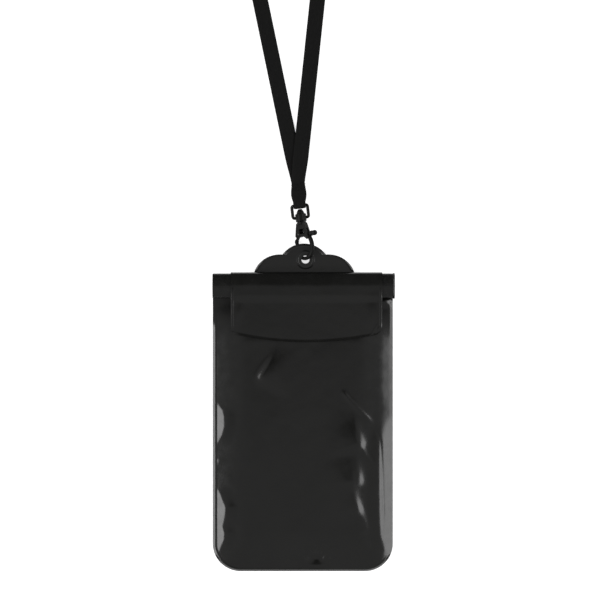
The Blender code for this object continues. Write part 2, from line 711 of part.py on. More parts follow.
def strap_leg(name, mat, route, level):
    """One leg of the neck loop, from the sewn end to the folded length."""
    turn = Matrix.Rotation(HOOK_LEAN, 4, "Z") @ Matrix.Rotation(HOOK_PITCH, 4, "X")
    drift = LOOP_DRIFT * (LOOP_END_REACH - STIRRUP_REACH)
    start = Vector((HOOK_X, HOOK_Y, HOOK_HEIGHT)) + turn @ Vector((drift, LOOP_END_REACH, 0))
    along = Vector((route[0][0] - start.x, route[0][1] - start.y, 0))
    lean = abs(math.atan2(-along.x, along.y) - HOOK_LEAN)
    first = CONTACT + math.sin(lean) * STRAP_WIDTH / 2 + 0.0002
    begin = Vector((start.x, start.y, 0)) + along.normalized() * first
    points = [begin + (Vector((*route[0], 0)) - begin) * i / 6 for i in range(6)]
    points += [Vector((x, y, 0)) for x, y in route]
    path = smooth_path(points, 6)
    stations = []
    for i, point in enumerate(path):
        forward = path[min(i + 1, len(path) - 1)] - path[max(i - 1, 0)]
        flat = Vector((forward.y, -forward.x, 0)).normalized()
        twist = smooth_step((point.y - VIEW_TOP - 0.001) / LEG_TURN) * math.pi / 2
        rise = ((STRAP_WIDTH - STRAP_THICKNESS) / 2 + HANK_LIFT) * math.sin(twist)
        width = (JOINT_WIDTH
                 + (STRAP_WIDTH - JOINT_WIDTH) * smooth_step((point.y - start.y) / 0.018))
        stations.append((point + Vector((0, 0, level(point.y, start) + rise)),
                         flat * math.cos(twist) + Vector((0, 0, 1)) * math.sin(twist), width))
    return band(name, stations, mat)


def strap_legs(mat):
    floor = STRAP_THICKNESS / 2 + CONTACT
    ply = (STRAP_THICKNESS + CONTACT) / 2

    def lower(y, start):
        high = start.z - ply
        return floor + (high - floor) * (1 - smooth_step((y - start.y) / LEG_DESCENT))

    def upper(y, start):
        over = lower(y, start) + 2 * ply + 0.0001
        return over + (floor - over) * smooth_step((y - CROSSING_END) / CROSSING_DESCENT)

    left = strap_leg("strap_left_leg", mat, LEFT_LEG_ROUTE, lower)
    right = strap_leg("strap_right_leg", mat, RIGHT_LEG_ROUTE, upper)
    return left, right


def strap_hank(mat):
    """The rest of the neck loop, folded back and forth on its edge."""
    radius = HANK_DEPTH / 2
    near, far = HANK_START + radius, HANK_START + HANK_LENGTH - radius
    outline = [(HANK_X + radius * math.cos(a), far + radius * math.sin(a))
               for a in spaced(0, math.pi, 13)]
    outline += [(HANK_X + radius * math.cos(a), near + radius * math.sin(a))
                for a in spaced(math.pi, math.tau, 13)]
    return add_object("strap_hank", prism("strap_hank", outline, HANK_LIFT,
                                          HANK_LIFT + STRAP_WIDTH), mat)


def hank_tie(mat):
    """Band that holds the folded strap together at its middle."""
    middle = HANK_START + HANK_LENGTH / 2
    low, high = HANK_LIFT - CONTACT, HANK_LIFT + STRAP_WIDTH + CONTACT
    half = HANK_DEPTH / 2 + CONTACT
    wall = TIE_THICKNESS
    edges = [middle - TIE_WIDTH / 2, middle + TIE_WIDTH / 2]
    bm = bmesh.new()
    loops = []
    for y in edges:
        for grow in (0, wall):
            loops.append([bm.verts.new((HANK_X + sx * (half + grow), y, z)) for sx, z in
                          ((-1, low - grow), (1, low - grow), (1, high + grow), (-1, high + grow))])
    inner_near, outer_near, inner_far, outer_far = loops
    for first, second in ((inner_near, outer_near), (outer_near, outer_far),
                          (outer_far, inner_far), (inner_far, inner_near)):
        for i in range(4):
            j = (i + 1) % 4
            bm.faces.new((first[i], first[j], second[j], second[i]))
    return add_object("hank_tie", mesh_from(bm, "hank_tie"), mat)


def build():
    clear_scene()
    film = material("black_film", (0.020, 0.020, 0.019), 0.18)
    clip = material("black_clip_plastic", (0.012, 0.012, 0.012), 0.35)
    hook = material("black_hook_plastic", (0.014, 0.014, 0.013), 0.40)
    steel = material("blackened_steel", (0.10, 0.10, 0.10), 0.35, 1.0)
    strap = material("black_webbing", (0.008, 0.008, 0.008), 0.85)

    eyelet = eyelet_cutter()
    back_film(film, eyelet)
    tab_facing(film, eyelet)
    front_film(film)
    clip_back_bar(clip)
    clip_front_bar(clip)

    hook_frame = axis_frame("hook_frame", 0.0, HOOK_ROLL)
    hook_body(hook, hook_frame)
    hook_gate(hook, hook_frame)
    gate_pin(steel, hook_frame)
    gate_spring(steel, hook_frame)
    swivel_at = HOUSING_TOP + COLLAR_HEIGHT + CONTACT + BOSS_HEIGHT / 2
    stirrup_frame = axis_frame("stirrup_frame", swivel_at, 0.0)
    swivel_stirrup(hook, stirrup_frame)
    strap_loop_end(strap, stirrup_frame)
    strap_legs(strap)
    strap_hank(strap)
    hank_tie(strap)


build()
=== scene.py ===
import math

import bpy
import bmesh
import numpy as np
from mathutils import Matrix, Vector


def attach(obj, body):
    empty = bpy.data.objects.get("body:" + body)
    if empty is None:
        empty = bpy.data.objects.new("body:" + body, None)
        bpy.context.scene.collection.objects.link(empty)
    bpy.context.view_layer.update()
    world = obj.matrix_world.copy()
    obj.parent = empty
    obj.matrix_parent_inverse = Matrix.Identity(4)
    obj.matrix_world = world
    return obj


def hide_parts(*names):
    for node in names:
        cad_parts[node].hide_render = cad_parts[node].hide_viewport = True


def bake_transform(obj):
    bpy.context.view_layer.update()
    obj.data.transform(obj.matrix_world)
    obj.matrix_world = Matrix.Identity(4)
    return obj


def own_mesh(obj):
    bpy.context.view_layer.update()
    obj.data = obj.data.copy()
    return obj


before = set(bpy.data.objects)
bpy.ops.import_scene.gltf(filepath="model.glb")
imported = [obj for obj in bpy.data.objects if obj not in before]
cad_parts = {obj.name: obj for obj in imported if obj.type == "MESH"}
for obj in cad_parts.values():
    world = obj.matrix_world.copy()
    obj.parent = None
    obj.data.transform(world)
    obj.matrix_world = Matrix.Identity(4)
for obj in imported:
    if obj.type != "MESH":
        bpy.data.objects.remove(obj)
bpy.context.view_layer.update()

# Camera over the middle of the photograph's frame
VIEW_X = -0.0019
VIEW_Y = -0.0096
VIEW_WIDTH = 0.4068
OBJECT_LEVEL = 0.005
LENS = 100.0
SENSOR = 36.0
NEAR_CLIP = 0.01

# Films
FILM = 0.0004
BODY_WIDTH = 0.1220
BODY_X = 0.0
BODY_TOP = -0.0084
BODY_BOTTOM = -0.1936
CORNER_RADIUS = 0.0188
WELD_WIDTH = 0.0022
LEFT_WELD = 0.0027
PILLOW_MOUTH = 0.030
PILLOW_FRONT = 0.0040
BACK_FILM_Z = 0.0040
FRONT_FILM_Z = 0.0047
BEAD_HEIGHT = 0.0014
BEAD_HALF_WIDTH = 0.0035
CLIP_EDGE = 0.0084
FLAP_WIDTH = 0.1026
FLAP_X = 0.0025
FLAP_REACH = 0.0380
FLAP_BOW = 0.0060
FLAP_CORNER = 0.0040
FLAP_DROOP = 0.0005
FLAP_START = 0.0045
FLAP_CLEARANCE = 0.0001
FLAP_TURN_ROWS = 15
FLAP_ROWS = 34
CLIP_WALL_TOP = 0.0058
CLIP_THICKNESS = 0.0095
DOME_EDGE = 0.025

# Points that the films are built from
FILM_STEP = 0.00095
FILM_COLUMNS = 161
EDGE_CROWDING = 1.2
CORNER_ROWS = 28
CLIP_ROWS = [-0.0065, -0.005]
BEAD_ROWS = 9
BACK_FILM_STOP = 0.004
# Shares of the flap's reach at its bend under the clip's edge, along Y and Z
FLAP_BEND = (0.6, 0.3)

# Taut strip along the sides, its slope gentler high on the right
STRIP_SLOPE = 0.42
RIGHT_SLOPE_LOSS = 0.105
RIGHT_SLOPE_Y = -0.086
RIGHT_SLOPE_BLEND = 0.020
STRIP_FALL = 0.009
STRIP_BOTTOM_FADE = 0.020
LEFT_STRIP_BLEND = 0.00010
RIGHT_STRIP_BLEND = 0.00045

# Outer rim: sloped along the sides, with a bead along the bottom
RIM_TOP_FADE = 0.004
LEFT_RIM = 0.0019
LEFT_RIM_SLOPE = 0.06
LEFT_RIM_STEEPER = 0.36
LEFT_RIM_Y = -0.018
LEFT_RIM_BLEND = 0.012
BOTTOM_BEAD = 0.0016
BOTTOM_BEAD_SLOPE = 1.15
BOTTOM_BEAD_RISE = 0.0002
BOTTOM_BEAD_BLEND = 0.0008
BEAD_CORNER_X = 0.036
BEAD_CORNER_BLEND = 0.018
BEAD_CORNER_RISE = 0.004
BEAD_TOP_Y = -0.176
BEAD_TOP_BLEND = 0.010

# Waves in the films: height, size and seed. They begin at an inset from the outline
FRONT_RIPPLES = [(0.00012, 0.055, 4), (0.00003, 0.021, 9)]
BACK_RIPPLES = [(0.00010, 0.060, 12)]
RIPPLE_WAVES = 7
RIPPLE_SPREAD = (0.6, 1.6)
RIPPLE_INSET = 0.004
RIPPLE_BLEND = 0.010
CREASE_FADE = 0.25
# How much further a fold reaches behind its steep side and towards the clip
FOLD_BACK = 4.0
FOLD_TOP = 4.0
FOLD_CLIP_FADE = 0.0020

# Widths of the taut strips: height and width, in mm, from the top down
LEFT_PUCKERS = [(-8, 0), (-60, 0.2), (-79, 0), (-81, 1.4), (-84, 3.8), (-88, 5.0), (-95, 5.2),
                (-101, 3.6), (-105, 1.2), (-109, -0.4), (-116, -0.4), (-118.5, 1.4),
                (-122, -0.3), (-130, -1.0), (-136, -0.4), (-141, 2.4), (-146, 4.4),
                (-149.5, 6.2), (-154, 6.0), (-158, 5.2), (-163, 4.0), (-167, 5.4),
                (-172, 5.0), (-176, 3.0), (-181, 0.4), (-193, 0)]
RIGHT_PUCKERS = [(-8, 0.3), (-24, 0.4), (-32, 3.4), (-60, 4.4), (-84, 4.0), (-95, 4.6),
                 (-104, 5.8), (-120, 6.8), (-140, 6.9), (-160, 6.6), (-170, 5.6), (-178, 3.0),
                 (-193, 0)]

# Creases: points, half width and height
FRONT_CREASES = [
    ([(0.0259, -0.0700), (0.0306, -0.0761), (0.0401, -0.0856), (0.0490, -0.0944)], 0.0010,
     0.00062),
    ([(0.0490, -0.0944), (0.0526, -0.1050), (0.0540, -0.1300), (0.0545, -0.1500),
      (0.0540, -0.1760)], 0.0011, -0.00020),
    ([(0.0137, -0.0260), (0.0139, -0.0500), (0.0136, -0.0790)], 0.0008, 0.00006),
]
# Folds and lumps: centre, angle, length, width and height. A fold's steep side is on the
# left of its direction
FRONT_FOLDS = [
    ((0.0384, -0.1060), -72, 0.0038, 0.0038, 0.00108),
    ((0.0446, -0.1180), -58, 0.0050, 0.0019, 0.00045),
    ((0.0368, -0.1312), -84, 0.0048, 0.0041, 0.00118),
    ((0.0352, -0.1500), -80, 0.0072, 0.0046, 0.00127),
    ((0.0418, -0.1620), -66, 0.0080, 0.0030, 0.00046),
    ((-0.0272, -0.0614), 58, 0.0034, 0.0031, 0.00150),
    ((0.0556, -0.0100), -90, 0.0026, 0.0036, 0.00190),
]
FRONT_LUMPS = [
    ((0.0093, -0.1840), 0, 0.0085, 0.0046, -0.0026),
    ((0.0152, -0.1838), 60, 0.0020, 0.0013, 0.00026),
]
BACK_CREASES = [
    ([(-0.0372, -0.0600), (-0.0242, -0.0760), (-0.0172, -0.0930)], 0.0012, -0.00040),
    ([(0.0428, -0.1200), (0.0338, -0.1390), (0.0308, -0.1600)], 0.0013, -0.00040),
]
FLAP_LUMPS = [
    ((0.0498, -0.0300), 55, 0.0045, 0.0012, 0.00045),
    ((0.0468, -0.0200), 85, 0.0090, 0.0040, 0.00030),
    ((-0.0432, -0.0180), 80, 0.0070, 0.0030, 0.00025),
]

# Flap's relief. Ridges: distance of the middle from the edge, half width and height
FLAP_RAMP = 0.2
FLAP_RIM = (0.0012, 0.0010, 0.00028)
FLAP_RIM_END = 0.0015
FLAP_RIM_FADE = 0.004
BAR_EDGE = 0.0065
BAR_BLEND = 0.005
FLAP_SAG = 0.00045
FLAP_SAG_BLEND = 0.006
FLAP_RIPPLE = 0.000108
FLAP_RIPPLE_SIZE = 0.045
FLAP_RIPPLE_SEED = 21
FLAP_RIPPLE_BLEND = 0.008
FLAP_LIP = 0.00035
FLAP_LIP_WIDTH = 0.0016
FLAP_LIP_FADE = 0.4

# Tab
LOBE_RADIUS = 0.0182
TAB_X = 0.00095
TOP_LOBE_Y = 0.0104
SIDE_LOBE_X = 0.0169
SIDE_LOBE_Y = 0.0030
TAB_ROOT = 0.0015
TAB_LIFT = 0.0030
TAB_LIFT_START = 0.0006
TAB_LIFT_LENGTH = 0.0085
TAB_SLOPE = 0.05
TAB_SLOPE_BLEND = 0.006
TAB_RELIEF_START = 0.001
TAB_RELIEF_BLEND = 0.003
EYELET = (0.0018, 0.01775)
EYELET_RADIUS = 0.0027
# Ridges: the rim from the tab's edge, the ring from the eyelet's middle
TAB_RIM = (0.0013, 0.0010, 0.00036)
TAB_RING = (0.0054, 0.0011, 0.00026)
TAB_RIPPLE = 0.00008
TAB_RIPPLE_SIZE = 0.025
TAB_RIPPLE_SEED = 31
TAB_RIPPLE_BLEND = 0.004
# Points that the tab is built from: finely spaced round the eyelet and along the rim
TAB_TURNS = 289
TAB_CORNER_GAP = 0.006
RING_BAND = 0.0038
RING_STEPS = 20
TAB_STEPS = 19
RIM_BAND = 0.0032
RIM_STEPS = 17

# Hook axis and strap
HOOK_ORIGIN = (0.0020, 0.0186, 0.0069)
HOOK_LEAN = math.radians(6.8)
HOOK_PITCH = math.radians(-3.0)
STIRRUP_REACH = 0.0362
STIRRUP_ROD = 0.0021
CONTACT = 0.0003
STRAP_WIDTH = 0.0105
STRAP_THICKNESS = 0.0009
LOOP_WIDTH = 0.0084
JOINT_WIDTH = 0.0091
LOOP_DRIFT = 0.06
LOOP_END_REACH = 0.0520
PLY_CLEARANCE = 0.0001
VIEW_TOP = 0.194
LEAD_POINTS = 6
PATH_STEPS = 14
STRAP_STEP = 0.0025
LEG_DESCENT = 0.040
LEG_WIDENING = 0.018
CROSSING_END = 0.112
CROSSING_DESCENT = 0.030
LEG_TURN_START = 0.001
LEG_TURN = 0.019
LEFT_LEG_ROUTE = [(-0.0289, VIEW_TOP), (-0.0308, 0.2035), (-0.0296, 0.2125),
                  (-0.0239, 0.2195), (-0.0179, 0.2260), (-0.0159, 0.2365)]
RIGHT_LEG_ROUTE = [(0.0099, VIEW_TOP), (0.0109, 0.2035), (0.0094, 0.2125),
                   (0.0038, 0.2195), (-0.0022, 0.2260), (-0.0045, 0.2365)]
HANK_RUNS = [-0.0159, -0.0121, -0.0083, -0.0045]
HANK_NEAR = 0.2375
HANK_FAR = 0.3850
HANK_LIFT = 0.0009
HANK_STEP = 0.004
HANK_FOLD_POINTS = 9
# The sewn end's plies where they part to go round the stirrup's bar: places past the bar,
# with the rise over a ply's level and, nearer, the share of the wrap's radius
PLY_END = 0.009
PLY_POINTS = 8
PLY_RISES = [(0.007, 0.00005), (0.005, 0.0002)]
WRAP_SHARES = [(0.0036, 0.6), (0.0025, 0.75), (0.0012, 0.97)]
WRAP_GAP = 8
WRAP_POINTS = 13
# Places past the stirrup's bar where the sewn end widens and narrows again
FLARE_START = 0.0018
FLARE_LENGTH = 0.005
WAIST_START = 0.0080
WAIST_LENGTH = 0.0070
# The band's section: points on each face, squareness and thickness left at its edges
BAND_POINTS = 9
BAND_SQUARENESS = 6
BAND_EDGE = 0.1

# Stitching of the strap's sewn end
STITCH_ROWS = [0.0468, 0.0486, 0.0504]
STITCHES = 11
STITCH_THROW = 0.00035
STITCH_INSET = 0.0002
STITCH_OVERHANG = 0.0004
STITCH_TURN = 0.6
THREAD_RADIUS = 0.00018
THREAD_SINK = 0.4
THREAD_SIDES = 6

# Colours and weave
FILM_COLOUR = (0.0066, 0.0066, 0.0061)
CLIP_COLOUR = (0.0045, 0.0045, 0.0042)
HOOK_COLOUR = (0.004, 0.004, 0.0037)
STEEL_COLOUR = (0.12, 0.12, 0.12)
WEBBING_COLOUR = (0.0048, 0.0048, 0.0046)
THREAD_COLOUR = (0.006, 0.006, 0.006)
RIB_PITCH = 0.00105
PICK_PITCH = 0.00085
ELASTIC_PITCH = 0.0009
THREAD_PITCH = 0.0004

# Floor, with the white it adds to its lit colour where it is looked at
FLOOR_SIZE = 6
FLOOR_COLOUR = (0.8, 0.8, 0.8)
FLOOR_ROUGHNESS = 0.9
FLOOR_GLOW = 0.72

# Light of the studio's walls, which fall dark overhead and beyond the strap, and the
# directions between which it changes
WALL_LIGHT = 0.34
DARK_LIGHT = 0.03
BEHIND = (-0.08, 0.12)
ASIDE = (0.07, 0.27)
# Softboxes: place, size in metres and power in watts
SOFTBOXES = {
    "left_softbox": ((-0.98, -0.15, 0.82), (1.9, 0.36), 11.2),
    "right_softbox": ((1.05, -0.15, 0.92), (1.9, 0.50), 11.3),
}
SOFTBOX_TARGET = (0, -0.15, 0)


def smooth_step(t):
    t = np.clip(t, 0.0, 1.0)
    return t * t * (3 - 2 * t)


def spaced(start, end, count):
    return [start + (end - start) * i / (count - 1) for i in range(count)]


def smooth_path(points, steps):
    """Points read from a smooth curve through the given ones."""
    ends = [points[0] * 2 - points[1], *points, points[-1] * 2 - points[-2]]
    path = []
    for a, b, c, d in zip(ends, ends[1:], ends[2:], ends[3:]):
        for i in range(steps):
            t = i / steps
            path.append(0.5 * (2 * b + (c - a) * t + (2 * a - 5 * b + 4 * c - d) * t ** 2
                               + (3 * b - a - 3 * c + d) * t ** 3))
    path.append(points[-1])
    return path


# ---------------------------------------------------------------- node helpers

class Tree:
    """Short way to build a node tree that ends in one shader."""

    def __init__(self, owner, shader):
        owner.use_nodes = True
        self.nodes = owner.node_tree.nodes
        self.links = owner.node_tree.links
        self.shader = self.nodes[shader]

    def feed(self, socket, value):
        """Links a socket to another one, or gives it a constant."""
        if isinstance(value, bpy.types.NodeSocket):
            self.links.new(value, socket)
        else:
            socket.default_value = value

    def set(self, name, value):
        self.feed(self.shader.inputs[name], value)

    def math(self, operation, a, b=0.5):
        node = self.nodes.new("ShaderNodeMath")
        node.operation = operation
        self.feed(node.inputs[0], a)
        self.feed(node.inputs[1], b)
        return node.outputs[0]

    def coordinates(self, kind):
        return self.nodes.new("ShaderNodeTexCoord").outputs[kind]

    def separate(self, vector):
        """The X, Y and Z outputs of a vector."""
        node = self.nodes.new("ShaderNodeSeparateXYZ")
        self.feed(node.inputs[0], vector)
        return node.outputs

    def remap(self, value, low, high, to_low, to_high, smooth=False):
        node = self.nodes.new("ShaderNodeMapRange")
        if smooth:
            node.interpolation_type = "SMOOTHSTEP"
        for name, amount in (("Value", value), ("From Min", low), ("From Max", high),
                             ("To Min", to_low), ("To Max", to_high)):
            self.feed(node.inputs[name], amount)
        return node.outputs["Result"]


class Material(Tree):
    """A material's tree, with the textures that the finishes share."""

    def __init__(self, name, colour, roughness, metallic=0.0):
        self.mat = bpy.data.materials.new(name)
        super().__init__(self.mat, "Principled BSDF")
        self.set("Base Color", (*colour, 1.0))
        self.set("Roughness", roughness)
        self.set("Metallic", metallic)

    def noise(self, scale, detail, rough):
        node = self.nodes.new("ShaderNodeTexNoise")
        for name, value in (("Scale", scale), ("Detail", detail), ("Roughness", rough),
                            ("Vector", self.coordinates("Object"))):
            self.feed(node.inputs[name], value)
        return node.outputs["Fac"]

    def tint(self, factor, colour, darkest, lightest):
        """Base colour between two shares of a colour."""
        node = self.nodes.new("ShaderNodeMix")
        node.data_type = "RGBA"
        self.feed(node.inputs[0], factor)
        for index, share in ((6, darkest), (7, lightest)):
            self.feed(node.inputs[index], (*(c * share for c in colour), 1.0))
        self.set("Base Color", node.outputs[2])

    def haze(self, texture, low, high):
        """Roughness that varies between two values."""
        self.set("Roughness", self.remap(texture, 0.3, 0.7, low, high))

    def bump(self, height, distance, strength, normal=None):
        node = self.nodes.new("ShaderNodeBump")
        for name, value in (("Strength", strength), ("Distance", distance), ("Height", height)):
            self.feed(node.inputs[name], value)
        if normal:
            self.feed(node.inputs["Normal"], normal)
        self.set("Normal", node.outputs["Normal"])
        return node.outputs["Normal"]


def film_material(name, colour, roughness):
    m = Material(name, colour, roughness)
    cloud = m.noise(scale=38, detail=3, rough=0.55)
    m.tint(m.remap(cloud, 0.35, 0.65, 0, 1), colour, darkest=1, lightest=1.18)
    m.haze(m.noise(scale=160, detail=2, rough=0.6), roughness * 0.85, roughness * 1.25)
    m.set("IOR", 1.53)
    ripples = m.noise(scale=55, detail=2, rough=0.5)
    grain = m.noise(scale=1500, detail=2, rough=0.5)
    first = m.bump(ripples, distance=0.00035, strength=0.5)
    m.bump(grain, distance=0.00001, strength=0.6, normal=first)
    return m.mat


def plastic_material(name, colour, roughness, shine):
    m = Material(name, colour, roughness)
    m.set("IOR", 1.5)
    m.set("Specular IOR Level", shine)
    blotch = m.noise(scale=60, detail=3, rough=0.5)
    m.tint(m.remap(blotch, 0.35, 0.65, 0, 1), colour, darkest=1, lightest=1.25)
    m.haze(m.noise(scale=240, detail=3, rough=0.6), roughness * 0.8, roughness * 1.2)
    m.bump(m.noise(scale=1800, detail=3, rough=0.6), distance=0.00003, strength=0.6)
    return m.mat


def steel_material(name):
    m = Material(name, STEEL_COLOUR, roughness=0.35, metallic=1.0)
    m.haze(m.noise(scale=900, detail=2, rough=0.5), 0.25, 0.45)
    m.bump(m.noise(scale=2500, detail=2, rough=0.5), distance=0.00001, strength=0.5)
    return m.mat


def webbing_material(name, colour):
    """Plain weave along the strap's own coordinates, in metres."""
    m = Material(name, colour, roughness=0.78)
    m.set("Specular IOR Level", 0.12)
    m.set("Sheen Weight", 0.03)
    m.set("Sheen Roughness", 0.5)
    uv = m.nodes.new("ShaderNodeUVMap")
    uv.uv_map = "strap"
    place = m.separate(uv.outputs["UV"])
    ribs = m.math("SINE", m.math("MULTIPLY", place["X"], math.tau / RIB_PITCH))
    picks = m.math("SINE", m.math("MULTIPLY", place["Y"], math.tau / PICK_PITCH))
    weave = m.math("MULTIPLY", ribs, picks)
    height = m.math("ADD", m.math("MULTIPLY", weave, 0.5),
                    m.math("MULTIPLY", m.math("ABSOLUTE", ribs), 0.5))
    fibre = m.noise(scale=3000, detail=2, rough=0.6)
    height = m.math("ADD", height, m.math("MULTIPLY", fibre, 0.35))
    m.tint(m.remap(height, -0.4, 1.2, 0, 1), colour, darkest=0.55, lightest=1.6)
    m.bump(height, distance=0.00012, strength=0.9)
    return m.mat


def band_material(name, colour, pitch):
    """Small ribbed fabric or thread, ribbed along the object's length."""
    m = Material(name, colour, roughness=0.7)
    m.set("Specular IOR Level", 0.15)
    place = m.separate(m.coordinates("Object"))
    ribs = m.math("SINE", m.math("MULTIPLY", place["Y"], math.tau / pitch))
    height = m.math("ADD", m.math("MULTIPLY", ribs, 0.5),
                    m.noise(scale=2600, detail=2, rough=0.6))
    m.tint(m.remap(height, 0, 1, 0, 1), colour, darkest=0.6, lightest=1.5)
    m.bump(height, distance=0.00008, strength=0.8)
    return m.mat


# ---------------------------------------------------------------- mesh helpers

def link(name, mesh, mat):
    obj = bpy.data.objects.new(name, mesh)
    bpy.context.collection.objects.link(obj)
    obj.data.materials.append(mat)
    return obj


def both_faces(points, normal):
    """Points of a film's two faces, from those of its middle."""
    normal /= np.maximum(np.linalg.norm(normal, axis=2, keepdims=True), 1e-12)
    half = normal * FILM / 2
    return np.concatenate([(points + half).reshape(-1, 3), (points - half).reshape(-1, 3)])


def grid_mesh(name, points):
    """A closed film round a grid of points, an array of rows, columns and xyz."""
    rows, cols, _ = points.shape
    normal = np.cross(np.gradient(points, axis=1), np.gradient(points, axis=0))
    n = rows * cols
    index = np.arange(n).reshape(rows, cols)
    a, b, c, d = index[:-1, :-1], index[:-1, 1:], index[1:, 1:], index[1:, :-1]
    top = np.stack([a, b, c, d], -1).reshape(-1, 4)
    bottom = np.stack([d, c, b, a], -1).reshape(-1, 4) + n
    rim = np.concatenate([index[0], index[1:, -1], index[-1, -2::-1], index[-2:0:-1, 0]])
    ahead = np.roll(rim, -1)
    side = np.stack([ahead, rim, rim + n, ahead + n], -1)
    faces = np.concatenate([top, bottom, side])
    return sheet_from(name, both_faces(points, normal), faces, [rim], n)


def ring_mesh(name, points):
    """A closed film round a grid of rings, from the inner hole outwards."""
    rings, around, _ = points.shape
    wrap = np.concatenate([points[:, -1:], points, points[:, :1]], axis=1)
    normal = np.cross(np.gradient(points, axis=0), (wrap[:, 2:] - wrap[:, :-2]) / 2)
    n = rings * around
    index = np.arange(n).reshape(rings, around)
    ahead = np.roll(index, -1, axis=1)
    top = np.stack([index[:-1], index[1:], ahead[1:], ahead[:-1]], -1).reshape(-1, 4)
    bottom = top[:, ::-1] + n
    inner = np.stack([index[0], ahead[0], ahead[0] + n, index[0] + n], -1)
    outer = np.stack([ahead[-1], index[-1], index[-1] + n, ahead[-1] + n], -1)
    faces = np.concatenate([top, bottom, inner, outer])
    return sheet_from(name, both_faces(points, normal), faces, [index[0], index[-1]], n)


def sheet_from(name, verts, faces, rims, n):
    """A smooth mesh with sharp edges round its rims, on both of its faces."""
    mesh = bpy.data.meshes.new(name)
    mesh.from_pydata(verts.tolist(), [], faces.tolist())
    mesh.update()
    for polygon in mesh.polygons:
        polygon.use_smooth = True
    edges = set()
    for rim in rims:
        for a, b in zip(rim.tolist(), np.roll(rim, -1).tolist()):
            edges.add((min(a, b), max(a, b)))
            edges.add((min(a, b) + n, max(a, b) + n))
    sharp = mesh.attributes.new("sharp_edge", "BOOLEAN", "EDGE")
    flags = [(min(e.vertices), max(e.vertices)) in edges for e in mesh.edges]
    sharp.data.foreach_set("value", flags)
    return mesh


def mesh_from(name, bm):
    """A mesh from a bmesh, which is freed, with its faces turned outwards."""
    bmesh.ops.recalc_face_normals(bm, faces=bm.faces)
    mesh = bpy.data.meshes.new(name)
    bm.to_mesh(mesh)
    bm.free()
    return mesh


# ---------------------------------------------------------------- films

def half_width(y):
    """Half the pouch's width at a height, round its lower corners."""
    drop = np.clip(CORNER_RADIUS - (y - BODY_BOTTOM), 0, CORNER_RADIUS)
    return BODY_WIDTH / 2 - CORNER_RADIUS + np.sqrt(CORNER_RADIUS ** 2 - drop ** 2)


def inset_at(x, y):
    """Distance from the pouch's outline, its top edge left out."""
    side = BODY_WIDTH / 2 - np.abs(x - BODY_X)
    rise = y - BODY_BOTTOM
    corner = CORNER_RADIUS - np.hypot(np.maximum(CORNER_RADIUS - side, 0),
                                      np.maximum(CORNER_RADIUS - rise, 0))
    return np.where((side < CORNER_RADIUS) & (rise < CORNER_RADIUS), corner,
                    np.minimum(side, rise))


def nip(y):
    """Rise of the sealing bead, which the films follow in the clip."""
    return np.where(np.abs(y) < BEAD_HALF_WIDTH,
                    BEAD_HEIGHT * (1 + np.cos(np.pi * y / BEAD_HALF_WIDTH)) / 2, 0.0)


def soft_min(a, b, blend):
    """The lower of two surfaces, rounded where they meet."""
    h = np.clip(0.5 + 0.5 * (b - a) / blend, 0, 1)
    return b * (1 - h) + a * h - blend * h * (1 - h)


def turned(x, y, centre, along):
    """Places along and across a direction, an angle in degrees, from a centre."""
    c, s = math.cos(math.radians(along)), math.sin(math.radians(along))
    return ((x - centre[0]) * c + (y - centre[1]) * s,
            (y - centre[1]) * c - (x - centre[0]) * s)


def lump(x, y, centre, along, length, width, height):
    """A long soft rise at a place, its long way turned by an angle."""
    u, v = turned(x, y, centre, along)
    return height * np.exp(-(u / length) ** 2 - (v / width) ** 2)


def fold(x, y, centre, along, length, width, height):
    """A rise with one steep side, which runs out gently behind it and towards the clip."""
    u, v = turned(x, y, centre, along)
    spread = np.where(v > 0, width, width * FOLD_BACK)
    reach = np.where(u * math.sin(math.radians(along)) > 0, length * FOLD_TOP, length)
    return height * np.exp(-(u / reach) ** 2 - (v / spread) ** 2)


def ridge(place, middle, half, height):
    """A round ridge across a place, of a given half width."""
    return height * (1 + np.cos(np.pi * np.clip((place - middle) / half, -1, 1))) / 2


def crease(x, y, points, width, height):
    """A pinched fold along a line of points, faded out at both ends."""
    best = np.full(x.shape, np.inf)
    place = np.zeros(x.shape)
    count = len(points) - 1
    for i, (a, b) in enumerate(zip(points, points[1:])):
        dx, dy = b[0] - a[0], b[1] - a[1]
        t = np.clip(((x - a[0]) * dx + (y - a[1]) * dy) / (dx * dx + dy * dy), 0, 1)
        d = np.hypot(x - a[0] - t * dx, y - a[1] - t * dy)
        closer = d < best
        best = np.where(closer, d, best)
        place = np.where(closer, (i + t) / count, place)
    fade = smooth_step(place / CREASE_FADE) * smooth_step((1 - place) / CREASE_FADE)
    return height * fade / (1 + (best / width) ** 2) ** 1.5


def ripple(x, y, size, seed):
    """Smooth irregular waves about one unit high, the same on every run."""
    rng = np.random.default_rng(seed)
    total = np.zeros(np.broadcast(x, y).shape)
    for _ in range(RIPPLE_WAVES):
        turn, phase = rng.uniform(0, math.tau, 2)
        scale = size * rng.uniform(*RIPPLE_SPREAD)
        total = total + np.sin((x * math.cos(turn) + y * math.sin(turn)) * math.tau / scale
                               + phase)
    return total / (RIPPLE_WAVES / 2)


def pucker_width(y, table):
    """Width of the taut strip along a side, read from (height, width) pairs in mm."""
    heights = [row[0] / 1000 for row in table][::-1]
    widths = [row[1] / 1000 for row in table][::-1]
    return np.interp(y, heights, widths)


def strip_slope(x, y):
    """Slope of the taut strip along a side, gentler high on the right."""
    low = smooth_step((RIGHT_SLOPE_Y - y) / RIGHT_SLOPE_BLEND)
    return np.where(x < BODY_X, STRIP_SLOPE, STRIP_SLOPE - RIGHT_SLOPE_LOSS * (1 - low))


def weld_width(x):
    """Width of the weld, a little more on the left."""
    return np.where(x < BODY_X, LEFT_WELD, WELD_WIDTH)


